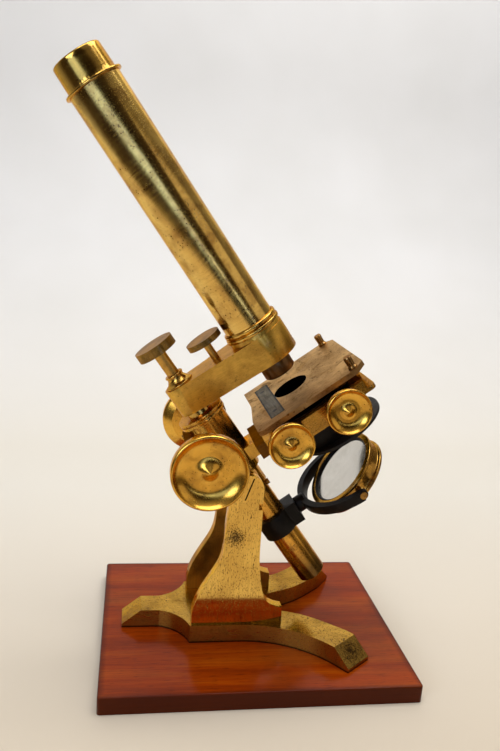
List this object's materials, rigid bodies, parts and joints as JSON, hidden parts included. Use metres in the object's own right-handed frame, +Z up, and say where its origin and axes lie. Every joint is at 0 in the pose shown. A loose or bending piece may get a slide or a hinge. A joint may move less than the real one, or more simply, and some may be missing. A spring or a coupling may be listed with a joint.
{
  "type": "compound microscope",
  "caption": "Brass bar-limb compound microscope on a mahogany board, with rack focus, mechanical stage, diaphragm wheel and swivelling mirror.",
  "frame": {"origin": "centre of the board's underside, on the surface it stands on", "axes": "+Z up, +X from the stem towards the stage and mirror, +Y away from the viewer's side of the picture"},
  "size_m": [0.2669, 0.184, 0.4276],
  "materials": {
    "mahogany": "satin varnish, grain along X",
    "cast_brass": "filed and lacquered, pitted",
    "tube_brass": "polished, lacquered, spotted",
    "turned_brass": "turned and lacquered",
    "milled_brass": "milled edge, dulled",
    "stage_brass": "matt, worn lacquer",
    "bronzed_brass": "bronzed, dark",
    "black_lacquer": "black lacquer over brass",
    "bright_steel": "ground",
    "dull_steel": "dulled",
    "screw_brass": "turned, slotted",
    "lens_glass": "clear, polished",
    "mirror_glass": "silvered glass"
  },
  "bodies": {
    "stand": {"base_board": "mahogany", "foot": "cast_brass", "upright_near": "cast_brass", "upright_far": "cast_brass", "stand_screws": "screw_brass", "trunnion_screws": "screw_brass"},
    "limb": {"limb": "cast_brass", "pinion_cap": "cast_brass", "pinion_cap_screws": "screw_brass", "tail_tube": "tube_brass", "tail_plug": "tube_brass", "collar_stop_screw": "screw_brass", "stage_bracket": "cast_brass", "stage_screws": "screw_brass", "stage_base": "stage_brass", "diaphragm_carrier": "black_lacquer", "diaphragm_pivot": "screw_brass"},
    "coarse_focus": {"coarse_pinion": "bright_steel", "coarse_knob_near": "turned_brass", "coarse_knob_far": "turned_brass"},
    "stem": {"stem": "bright_steel", "rack": "bright_steel"},
    "arm": {"arm": "cast_brass", "lever_cover": "stage_brass", "lever_pin": "bright_steel", "clamp_collar": "turned_brass", "body_tube": "tube_brass", "tube_collar": "tube_brass"},
    "clamp_screw": {"arm_clamp_screw": "milled_brass"},
    "fine_focus": {"fine_screw": "milled_brass"},
    "lever": {"fine_lever": "bright_steel"},
    "nosepiece": {"nose_tube": "turned_brass", "nose_spring": "bright_steel", "objective": "bronzed_brass", "objective_lens": "lens_glass"},
    "eyepiece": {"eyepiece_cap": "tube_brass", "eyepiece_tube": "tube_brass", "eye_lens": "lens_glass", "field_lens": "lens_glass"},
    "x_drive": {"x_pinion": "bright_steel", "x_knob": "turned_brass"},
    "x_slide": {"stage_x_slide": "stage_brass", "stage_rack": "bright_steel"},
    "y_drive": {"y_screw": "bright_steel", "y_knob": "turned_brass"},
    "stage_top": {"stage_top_plate": "stage_brass", "stage_inset": "dull_steel", "inset_screws": "screw_brass", "stage_pins": "milled_brass", "guide_bar_left": "stage_brass", "guide_bar_right": "stage_brass"},
    "diaphragm": {"diaphragm_wheel": "black_lacquer"},
    "mirror_slide": {"mirror_collar": "black_lacquer"},
    "gimbal": {"gimbal_stem": "black_lacquer", "mirror_gimbal": "black_lacquer", "mirror_pivot_screws": "screw_brass"},
    "mirror": {"mirror_cell": "turned_brass", "mirror_bezels": "black_lacquer", "mirror_flat": "mirror_glass", "mirror_concave": "mirror_glass"}
  },
  "joints": [
    {"name": "limb_incline", "type": "hinge", "parent": "stand", "child": "limb", "pos_m": [-0.0109, 0, 0.1338], "axis": [0, 1, 0], "range_deg": [-53.2, 36.8]},
    {"name": "coarse_turn", "type": "hinge", "parent": "limb", "child": "coarse_focus", "pos_m": [-0.04435, 0, 0.15848], "axis": [0, -1, 0], "range_deg": [-42, 470]},
    {"name": "coarse_slide", "type": "slide", "parent": "limb", "child": "stem", "axis": [-0.599, 0, 0.8007], "range_m": [-0.0035, 0.0393]},
    {"name": "arm_swing", "type": "hinge", "parent": "stem", "child": "arm", "pos_m": [-0.04978, 0, 0.18577], "axis": [-0.599, 0, 0.8007], "range_deg": [-40, 40]},
    {"name": "clamp_turn", "type": "hinge", "parent": "stem", "child": "clamp_screw", "pos_m": [-0.06481, 0, 0.20587], "axis": [-0.599, 0, 0.8007], "range_deg": [0, 360]},
    {"name": "fine_turn", "type": "hinge", "parent": "arm", "child": "fine_focus", "pos_m": [-0.03935, 0, 0.22492], "axis": [-0.599, 0, 0.8007], "range_deg": [-450, 450]},
    {"name": "fine_slide", "type": "slide", "parent": "arm", "child": "nosepiece", "axis": [-0.599, 0, 0.8007], "range_m": [-0.00048, 0.00048]},
    {"name": "fine_lever_turn", "type": "hinge", "parent": "arm", "child": "lever", "pos_m": [-0.02049, 0, 0.22141], "axis": [0, -1, 0], "range_deg": [-3, 3]},
    {"name": "eyepiece_draw", "type": "slide", "parent": "arm", "child": "eyepiece", "axis": [-0.599, 0, 0.8007], "range_m": [0, 0.04]},
    {"name": "x_turn", "type": "hinge", "parent": "limb", "child": "x_drive", "pos_m": [0.046, 0, 0.20297], "axis": [0, 1, 0], "range_deg": [-125, 125]},
    {"name": "x_travel", "type": "slide", "parent": "limb", "child": "x_slide", "axis": [0.8007, 0, 0.599], "range_m": [-0.0078, 0.0078]},
    {"name": "y_turn", "type": "hinge", "parent": "x_slide", "child": "y_drive", "pos_m": [0.0091, 0, 0.17835], "axis": [0, 1, 0], "range_deg": [-400, 400]},
    {"name": "y_travel", "type": "slide", "parent": "x_slide", "child": "stage_top", "axis": [0, 1, 0], "range_m": [-0.0088, 0.0088]},
    {"name": "diaphragm_turn", "type": "hinge", "parent": "limb", "child": "diaphragm", "pos_m": [0.05845, 0, 0.17531], "axis": [-0.599, 0, 0.8007], "continuous": true},
    {"name": "mirror_height", "type": "slide", "parent": "limb", "child": "mirror_slide", "axis": [-0.599, 0, 0.8007], "range_m": [-0.02, 0.0015]},
    {"name": "gimbal_turn", "type": "hinge", "parent": "mirror_slide", "child": "gimbal", "pos_m": [0.03261, 0, 0.10903], "axis": [0.8007, 0, 0.599], "range_deg": [-44, 35]},
    {"name": "mirror_turn", "type": "hinge", "parent": "gimbal", "child": "mirror", "pos_m": [0.06928, 0, 0.13646], "axis": [-0.046, 0.9971, 0.0614], "continuous": true}
  ],
  "couplings": [
    {"joint": "coarse_turn", "follows": "coarse_slide", "rad_per_m": 208.33},
    {"joint": "fine_turn", "follows": "fine_slide", "rad_per_m": -16029},
    {"joint": "fine_lever_turn", "follows": "fine_slide", "rad_per_m": 98.039},
    {"joint": "x_turn", "follows": "x_travel", "rad_per_m": 277.78},
    {"joint": "y_turn", "follows": "y_travel", "rad_per_m": -785.4}
  ]
}
